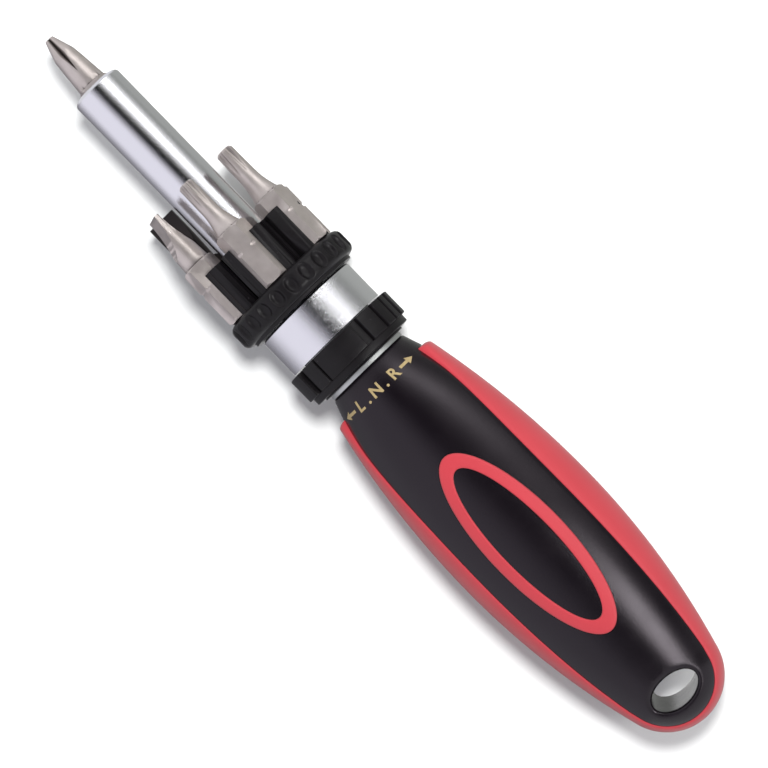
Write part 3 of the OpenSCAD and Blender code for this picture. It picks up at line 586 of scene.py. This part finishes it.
def ovalRow(turn):
    # crown of the ring from its inner to its outer edge, then back along its seat
    row = []
    for share in oval["crownColumns"]:
        x, y = ovalPoint(share, turn)
        crown = oval["proud"] * math.sqrt(1 - abs(2 * share - 1) ** grip["edgePower"])
        row.append((x, y, faceHeight(x, y) + crown))
    for share in oval["seatColumns"]:
        x, y = ovalPoint(share, turn)
        row.append((x, y, faceHeight(x, y) - oval["sunk"]))
    return row + row[:1]


def buildOvalRing(name, node, side):
    rows = [ovalRow(turn) for turn in spread(0, 2 * math.pi, oval["turns"])]
    piece = layGrid(name, [[(x, y, z * side) for x, y, z in row] for row in rows])
    weld(piece)
    smoothBy(piece, oval["smoothDegrees"])
    raiseToAxis(piece)
    finishPiece(piece, finishes["red_grip"], "red_grip", "handle", node)


buildHandleCore()
buildSideGrip()
buildOvalRing("frontOvalRing", "front_oval_ring", 1)
buildOvalRing("rearOvalRing", "rear_oval_ring", -1)
print("handle: core, grip and two oval rings")


# Direction marks: an arrow, L, N, R and an arrow, stamped round the neck

# they are drawn flat, one unit to the millimetre, and then wrapped round the neck
marks = {
    "at": 4.4, "centreDegrees": -2.8, "fontSize": 3.25, "weight": 0.09, "curve": 6, "letterDegrees": 25.2,
    "arrowFrom": 34.5, "arrowTo": 55.5, "arrowHead": 1.7, "stem": 0.6, "stemReach": 0.8,
    "sunk": 0.02, "proud": 0.03, "weld": 0.01, "cuts": 6,
}


def addLetter(text, across):
    bpy.ops.object.select_all(action="DESELECT")
    bpy.ops.object.text_add(location=(across, 0, 0))
    letter = bpy.context.object
    letter.data.body = text
    letter.data.size = marks["fontSize"]
    letter.data.offset = marks["weight"]
    letter.data.align_x = "CENTER"
    letter.data.align_y = "CENTER"
    letter.data.resolution_u = marks["curve"]
    bpy.ops.object.convert(target="MESH")
    bpy.ops.object.transform_apply(location=True, rotation=True, scale=True)
    return bpy.context.object


def addArrow(tail, tip):
    head = marks["arrowHead"] * (1 if tip > tail else -1)
    stemEnd = tip - head * marks["stemReach"]
    bpy.ops.object.select_all(action="DESELECT")
    bpy.ops.mesh.primitive_plane_add(size=1, location=((tail + stemEnd) / 2, 0, 0))
    stem = bpy.context.object
    stem.scale = (abs(stemEnd - tail), marks["stem"], 1)
    bpy.ops.object.transform_apply(location=True, rotation=True, scale=True)
    bpy.ops.mesh.primitive_circle_add(vertices=3, radius=1, fill_type="NGON", location=(0, 0, 0))
    point = bpy.context.object
    for vertex, place in zip(point.data.vertices, ((tip, 0), (tip - head, 0.5), (tip - head, -0.5))):
        vertex.co = (place[0], place[1] * marks["arrowHead"], 0)
    return [stem, point]


def buildMarks():
    middle = marks["at"]
    neckRound = (coreWidth(middle) + coreThickness(middle)) / 2
    perDegree = neckRound * math.pi / 180
    step = marks["letterDegrees"] * perDegree
    parts = [addLetter("L", -step), addLetter("N", 0), addLetter("R", step)]
    parts += [addLetter(".", side * step / 2) for side in (-1, 1)]
    for side in (-1, 1):
        parts += addArrow(side * marks["arrowFrom"] * perDegree, side * marks["arrowTo"] * perDegree)
    bpy.ops.object.select_all(action="DESELECT")
    for part in parts:
        part.select_set(True)
    bpy.context.view_layer.objects.active = parts[0]
    bpy.ops.object.join()
    piece = bpy.context.object
    piece.name = piece.data.name = "directionMarks"
    weld(piece, marks["weld"])
    enterEdit(piece)
    bpy.ops.mesh.quads_convert_to_tris()
    bpy.ops.mesh.subdivide(number_cuts=marks["cuts"])
    bpy.ops.mesh.extrude_region_move(TRANSFORM_OT_translate={"value": (0, 0, 1)})
    bpy.ops.mesh.select_all(action="SELECT")
    bpy.ops.mesh.normals_make_consistent(inside=False)
    leaveEdit()
    for vertex in piece.data.vertices:
        turn = math.radians(marks["centreDegrees"]) + vertex.co.x / neckRound
        h = middle - vertex.co.y
        lift = marks["proud"] if vertex.co.z > 0.5 else -marks["sunk"]
        across, up = (coreWidth(h) + lift) * math.sin(turn), (coreThickness(h) + lift) * math.cos(turn)
        vertex.co = Vector((h, across, up)) * mm
    raiseToAxis(piece)
    finishPiece(piece, goldFoil, None, "handle")


buildMarks()
print("marks: L, N, R and two arrows")


# Bit magazine: a dimpled finger flange spun about the axis, and the clips in front of it

magazine = {
    "radius": 14.5, "thickness": 6.1, "edge": 1.5, "lipRadius": 12.6, "lip": 0.7, "lipEdge": 0.15,
    "bore": (shaftHigh.z - axisZ) / mm + 0.02,
    "dimples": 24, "dimpleLength": 3.9, "dimpleWidth": 2.6, "dimpleDepth": 0.75, "dimpleSoft": 0.03,
    "turnDegrees": 4.5, "turnsPerDimple": 24, "edgeSteps": 8, "rimSteps": 10, "frontRadius": 9,
    "clipEdge": 0.1, "clipDegrees": 30, "clipGap": 0.02, "footFrom": 0.5, "footSink": 0.6,
    "smoothDegrees": 35,
}


def turnedRow(turn, profile):
    return [(x, r * math.sin(turn), r * math.cos(turn)) for x, r in profile]


def flangeProfile(turn):
    radius, edge = magazine["radius"], magazine["edge"]
    rear = magazine["thickness"]
    lipFront = rear - magazine["lip"]
    quarter = spread(0, math.pi / 2, magazine["edgeSteps"])
    rim = [(edge - edge * math.cos(a), radius - edge + edge * math.sin(a)) for a in quarter]
    rim += [(x, radius) for x in spread(edge, lipFront - edge, magazine["rimSteps"])[1:-1]]
    rim += [(lipFront - edge + edge * math.sin(a), radius - edge + edge * math.cos(a)) for a in quarter]
    pitch = 2 * math.pi / magazine["dimples"]
    away = (turn + math.radians(magazine["turnDegrees"])) / pitch
    across = (away - round(away)) * pitch * radius * 2 / magazine["dimpleWidth"]
    pressed = []
    for x, r in rim:
        along = (x - lipFront / 2) * 2 / magazine["dimpleLength"]
        depth = magazine["dimpleDepth"] * (1 - (along * along + across * across) ** 2)
        pressed.append((x, softMin(r, radius - depth, magazine["dimpleSoft"])))
    lip, ease, bore = magazine["lipRadius"], magazine["lipEdge"], magazine["bore"]
    behind = [(lipFront, lip + ease), (lipFront + ease, lip), (rear - ease, lip), (rear, lip - ease)]
    return [(0, bore), (0, magazine["frontRadius"])] + pressed + behind + [(rear, bore), (0, bore)]


def buildMagazine():
    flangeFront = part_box("bit_magazine")[1].x - magazine["thickness"] * mm
    turns = spread(0, 2 * math.pi, magazine["dimples"] * magazine["turnsPerDimple"])
    flange = layGrid("bitMagazine", [turnedRow(turn, flangeProfile(turn)) for turn in turns])
    weld(flange)
    raiseToAxis(flange, flangeFront)
    clips = copySolid("bit_magazine", "clips")
    enterEdit(clips)
    bpy.ops.mesh.bisect(plane_co=(flangeFront - magazine["clipGap"] * mm, 0, 0), plane_no=(1, 0, 0),
                        use_fill=True, clear_outer=True)
    leaveEdit()
    easeEdges(clips, magazine["clipEdge"], magazine["clipDegrees"])
    # the clips' feet go a little way into the flange
    for vertex in clips.data.vertices:
        if vertex.co.x > flangeFront - magazine["footFrom"] * mm:
            vertex.co.x += magazine["footSink"] * mm
    activate(flange)
    clips.select_set(True)
    bpy.ops.object.join()
    smoothBy(flange, magazine["smoothDegrees"])
    finishPiece(flange, finishes["black_nylon"], "black_nylon", "drive", "bit_magazine")


# Selector ring: raised finger pads of uneven widths, with eased edges

selector = {
    "padRadius": 12.8, "baseRadius": 11.7, "rimRadius": 12, "hubRadius": 10.2, "bore": 8.65,
    "length": 7.5, "rim": 1.5, "rimStep": 0.04, "hub": 0.4, "edge": 0.3, "edgeSteps": 4, "topSteps": 4,
    "sideDegrees": 1.1, "turnDegrees": 3, "smoothDegrees": 35,
    "sideStops": (-0.3, 0, 0.06, 0.15, 0.35, 0.65, 1, 1.5),
    "pads": [(-41, 16.4), (-23.4, 45.9), (30, 18.5), (51, 13), (66, 9), (80, 51)],
}


def padHeight(degrees):
    # share of a pad's height at an angle, rounded off over its sides
    best = 0
    for start, sweep in selector["pads"]:
        middle = start + sweep / 2
        away = abs((degrees - middle + 90) % 180 - 90)
        share = (sweep / 2 - away) / selector["sideDegrees"]
        best = max(best, min(1, max(0, share)))
    return math.sqrt(1 - (1 - best) ** 2)


def selectorProfile(degrees):
    edge, bore = selector["edge"], selector["bore"]
    rear = selector["length"]
    rimRear = rear - selector["hub"]
    padRear = rimRear - selector["rim"]
    base, floor, hub = selector["baseRadius"], selector["rimRadius"], selector["hubRadius"]
    top = base + (selector["padRadius"] - base) * padHeight(degrees)
    steps = selector["edgeSteps"]
    quarter = spread(0, math.pi / 2, steps)
    profile = [(0, bore), (0, (bore + base) / 2)]
    profile += [(edge - edge * math.cos(a), top - edge + edge * math.sin(a)) for a in quarter]
    profile += [(x, top) for x in spread(edge, padRear - edge, selector["topSteps"])[1:-1]]
    if top > floor:
        profile += [(padRear - edge + edge * math.sin(a), top - edge + edge * math.cos(a)) for a in quarter]
    else:
        profile += [(x, top) for x in spread(padRear - edge, padRear, steps)]
    profile += [(padRear, (min(top, floor) + floor) / 2), (padRear + selector["rimStep"], floor)]
    profile += [(rimRear - edge + edge * math.sin(a), floor - edge + edge * math.cos(a)) for a in quarter]
    ease = edge / 3
    return profile + [(rimRear, hub), (rear - ease, hub), (rear, hub - ease), (rear, bore), (0, bore)]


def buildSelectorRing():
    stops = set(range(0, 361, selector["turnDegrees"]))
    for half in (0, 180):
        for start, sweep in selector["pads"]:
            for side, inward in ((start, 1), (start + sweep, -1)):
                for part in selector["sideStops"]:
                    stops.add((side + half + inward * part * selector["sideDegrees"]) % 360)
    rows = [turnedRow(math.radians(stop), selectorProfile(stop)) for stop in sorted(stops)]
    piece = layGrid("selectorRing", rows)
    weld(piece)
    smoothBy(piece, selector["smoothDegrees"])
    raiseToAxis(piece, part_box("selector_ring")[0].x)
    finishPiece(piece, finishes["black_nylon"], "black_nylon", "selector", "selector_ring")


buildMagazine()
buildSelectorRing()
print("magazine and selector ring")


# Bits: the solids with their edges tumbled, so that they catch the light

bits = {"edge": 0.08, "bladeEdge": 0.025, "edgeDegrees": 28, "smoothDegrees": 32, "endChamfer": 0.45}


def chamferEnd(piece):
    # the turned chamfer round a bit's rear end
    rear = max(vertex.co.x for vertex in piece.data.vertices) - tolerance["plane"] * mm
    weights = piece.data.attributes.new("bevel_weight_edge", "FLOAT", "EDGE")
    for edge in piece.data.edges:
        weights.data[edge.index].value = all(piece.data.vertices[i].co.x > rear for i in edge.vertices)
    chamfer = piece.modifiers.new("endChamfer", "BEVEL")
    chamfer.width = bits["endChamfer"] * mm
    chamfer.segments = 1
    chamfer.limit_method = "WEIGHT"
    applyModifiers(piece)


def buildBits():
    bodyOf = {name: body for body, names in frame["record"]["behaviour"]["bodies"].items() for name in names}
    for nodeName in nodes:
        if slotOf[nodeName] == "bit_steel":
            words = nodeName.split("_")
            piece = copySolid(nodeName, words[0] + "".join(word.title() for word in words[1:]))
            chamferEnd(piece)
            easeEdges(piece, bits["bladeEdge" if "slotted" in nodeName else "edge"], bits["edgeDegrees"])
            smoothBy(piece, bits["smoothDegrees"])
            flats = piece.modifiers.new("flatFaces", "WEIGHTED_NORMAL")
            flats.keep_sharp = True
            applyModifiers(piece)
            # painted shade: the stored wide slotted bit gets the darker steel, for the shade it lies in below
            # the shaft
            paintedShadeBit = nodeName == "stored_bit_slotted_wide"
            finishPiece(piece, shadowSteel if paintedShadeBit else finishes["bit_steel"], None if paintedShadeBit else "bit_steel",
                        bodyOf[nodeName], nodeName)


buildBits()
print("bits eased")


# Studio

studio = {
    "cameraAway": 480, "focal": 115.2, "sensor": 36, "roll": 8, "lean": 45.8, "aim": 93.8,
    "clipStart": 0.01, "floorSize": 6, "floorTone": "#D2D3D2",
    "white": "#FFFFFF", "cool": "#F7F5FF", "green": "#F4F7F2", "endTone": "#F2F2F6", "endPower": 0.9,
    "toOver": (-0.105, -0.08), "toBehind": (0.16, 0.36), "toEnd": (0.42, 0.54),
    "keyAway": 0.5, "keySize": 0.09, "keyLean": 16, "keyForward": 8, "keyPower": 3.3,
}


def makeCamera():
    roll = math.radians(studio["roll"])
    lean = math.radians(studio["lean"])
    back = Vector((0, math.sin(roll), math.cos(roll)))
    across = Vector((0, math.cos(roll), -math.sin(roll)))
    along = Vector((1, 0, 0))
    right = along * math.cos(lean) + across * math.sin(lean)
    up = across * math.cos(lean) - along * math.sin(lean)
    place = Vector((tipX + studio["aim"] * mm, 0, axisZ)) + back * studio["cameraAway"] * mm
    data = bpy.data.cameras.new("camera")
    data.lens = studio["focal"]
    data.sensor_width = studio["sensor"]
    data.clip_start = studio["clipStart"]
    camera = bpy.data.objects.new("camera", data)
    bpy.context.scene.collection.objects.link(camera)
    camera.matrix_world = Matrix((
        (right.x, up.x, back.x, place.x),
        (right.y, up.y, back.y, place.y),
        (right.z, up.z, back.z, place.z),
        (0, 0, 0, 1),
    ))
    bpy.context.scene.camera = camera


def makeFloor():
    bpy.ops.object.select_all(action="DESELECT")
    bpy.ops.mesh.primitive_plane_add(size=studio["floorSize"], location=(0, 0, cadLow.z))
    floor = bpy.context.object
    floor.name = "floor"
    material, tree = newMaterial("paleMattBoard")
    shader = addNode(tree, "BsdfPrincipled", {
        "Base Color": hexToLinear(studio["floorTone"]), "Roughness": 0.9, "Specular IOR Level": 0.1})
    addNode(tree, "OutputMaterial", {"Surface": shader.outputs["BSDF"]})
    floor.data.materials.append(material)
    floor.visible_glossy = False


def addRamp(tree, share, boards, strongest):
    ramp = addNode(tree, "ValToRGB", {"Fac": share})
    stops = ramp.color_ramp.elements
    while len(stops) < len(boards):
        stops.new(0.5)
    for stop, (degrees, tone, power) in zip(stops, boards):
        stop.position = degrees / 360 + 0.5
        stop.color = [c * power / strongest for c in hexToLinear(tone)[:3]] + [1]
    return ramp.outputs["Color"]


def makeBoards():
    # soft boxes and boards that run along the tool: angle about it from straight up, tone and power
    # one set before it, one over it, one behind its tail, and a pale board beyond either end
    white, cool, green = studio["white"], studio["cool"], studio["green"]
    under = [(-180, white, 0.9), (-168, white, 0.9), (-160, cool, 0.2)]
    before = under + [
        (-143, cool, 0.24), (-118, cool, 0.42), (-98, cool, 0.73),
        (-84, cool, 0.95), (-26, cool, 0.96), (-8, cool, 0.42), (4, white, 0.02),
        (14, white, 0.02), (24, white, 0.22), (40, white, 1.1), (48, white, 2.8),
        (58, white, 2.8), (76, white, 0.92), (98, green, 0.34), (112, green, 0.44),
        (180, green, 0.44),
    ]
    over = under + [
        (-143, cool, 0.22), (-116, cool, 0.42), (-97, cool, 0.73),
        (-80, cool, 0.96), (-26, cool, 0.96), (-12, cool, 0.6), (-2, cool, 0.15),
        (4, white, 0.02), (20, white, 0.02), (28, white, 0.12), (40, white, 0.42),
        (54, white, 0.66), (62, white, 0.6), (74, white, 0.36), (86, green, 0.22),
        (100, green, 0.3), (114, green, 0.46), (180, green, 0.46),
    ]
    behind = under + [
        (-143, cool, 0.22), (-97, cool, 0.73), (-80, cool, 0.9),
        (-42, cool, 0.8), (-20, cool, 0.08), (6, white, 0.04), (18, white, 0.8),
        (26, white, 11), (44, white, 11), (52, white, 1.5), (64, white, 0.05),
        (85, white, 0.05), (100, green, 0.3), (180, green, 0.35),
    ]
    strongest = max(power for _, _, power in before + over + behind)
    world = bpy.data.worlds.new("studio")
    bpy.context.scene.world = world
    world.use_nodes = True
    tree = world.node_tree
    tree.nodes.clear()
    direction = addNode(tree, "TexCoord").outputs["Generated"]
    parts = addNode(tree, "SeparateXYZ", {"Vector": direction})
    angle = addNode(tree, "Math", {0: parts.outputs["Y"], 1: parts.outputs["Z"]}, operation="ARCTAN2")
    share = addNode(tree, "MapRange", {"Value": angle.outputs["Value"], "From Min": -math.pi,
                                       "From Max": math.pi})
    along = addNode(tree, "Math", {0: parts.outputs["X"]}, operation="ABSOLUTE")
    toOver, toBehind, toEnd = [
        addNode(tree, "MapRange", {"Value": value, "From Min": studio[name][0], "From Max": studio[name][1]})
        for name, value in (("toOver", parts.outputs["X"]), ("toBehind", parts.outputs["X"]),
                            ("toEnd", along.outputs["Value"]))]
    first, second, third = [addRamp(tree, share.outputs["Result"], boards, strongest)
                            for boards in (before, over, behind)]
    near = addNode(tree, "Mix", {"Factor": toOver.outputs["Result"], 6: first, 7: second}, data_type="RGBA")
    sides = addNode(tree, "Mix", {"Factor": toBehind.outputs["Result"], 6: near.outputs[2], 7: third},
                    data_type="RGBA")
    pale = [c * studio["endPower"] / strongest for c in hexToLinear(studio["endTone"])[:3]] + [1]
    whole = addNode(tree, "Mix", {"Factor": toEnd.outputs["Result"], 6: sides.outputs[2], 7: pale},
                    data_type="RGBA")
    sky = addNode(tree, "Background", {"Color": whole.outputs[2], "Strength": strongest})
    addNode(tree, "OutputWorld", {"Surface": sky.outputs["Background"]})


def makeKeyLight():
    # one soft box high over the tool, leaning to one side and towards the bit, for the short shadow
    data = bpy.data.lights.new("keyBox", "AREA")
    data.shape = "DISK"
    data.size = studio["keySize"]
    data.energy = studio["keyPower"]
    key = bpy.data.objects.new("keyBox", data)
    bpy.context.scene.collection.objects.link(key)
    forward, lean = [math.tan(math.radians(studio[name])) for name in ("keyForward", "keyLean")]
    key.location = Vector((-forward, lean, 1)).normalized() * studio["keyAway"]
    key.rotation_euler = key.location.to_track_quat("Z", "Y").to_euler()
    key.visible_glossy = False


makeCamera()
makeFloor()
makeBoards()
makeKeyLight()
bpy.context.scene.view_settings.view_transform = "Standard"
print("studio: camera, floor and light")
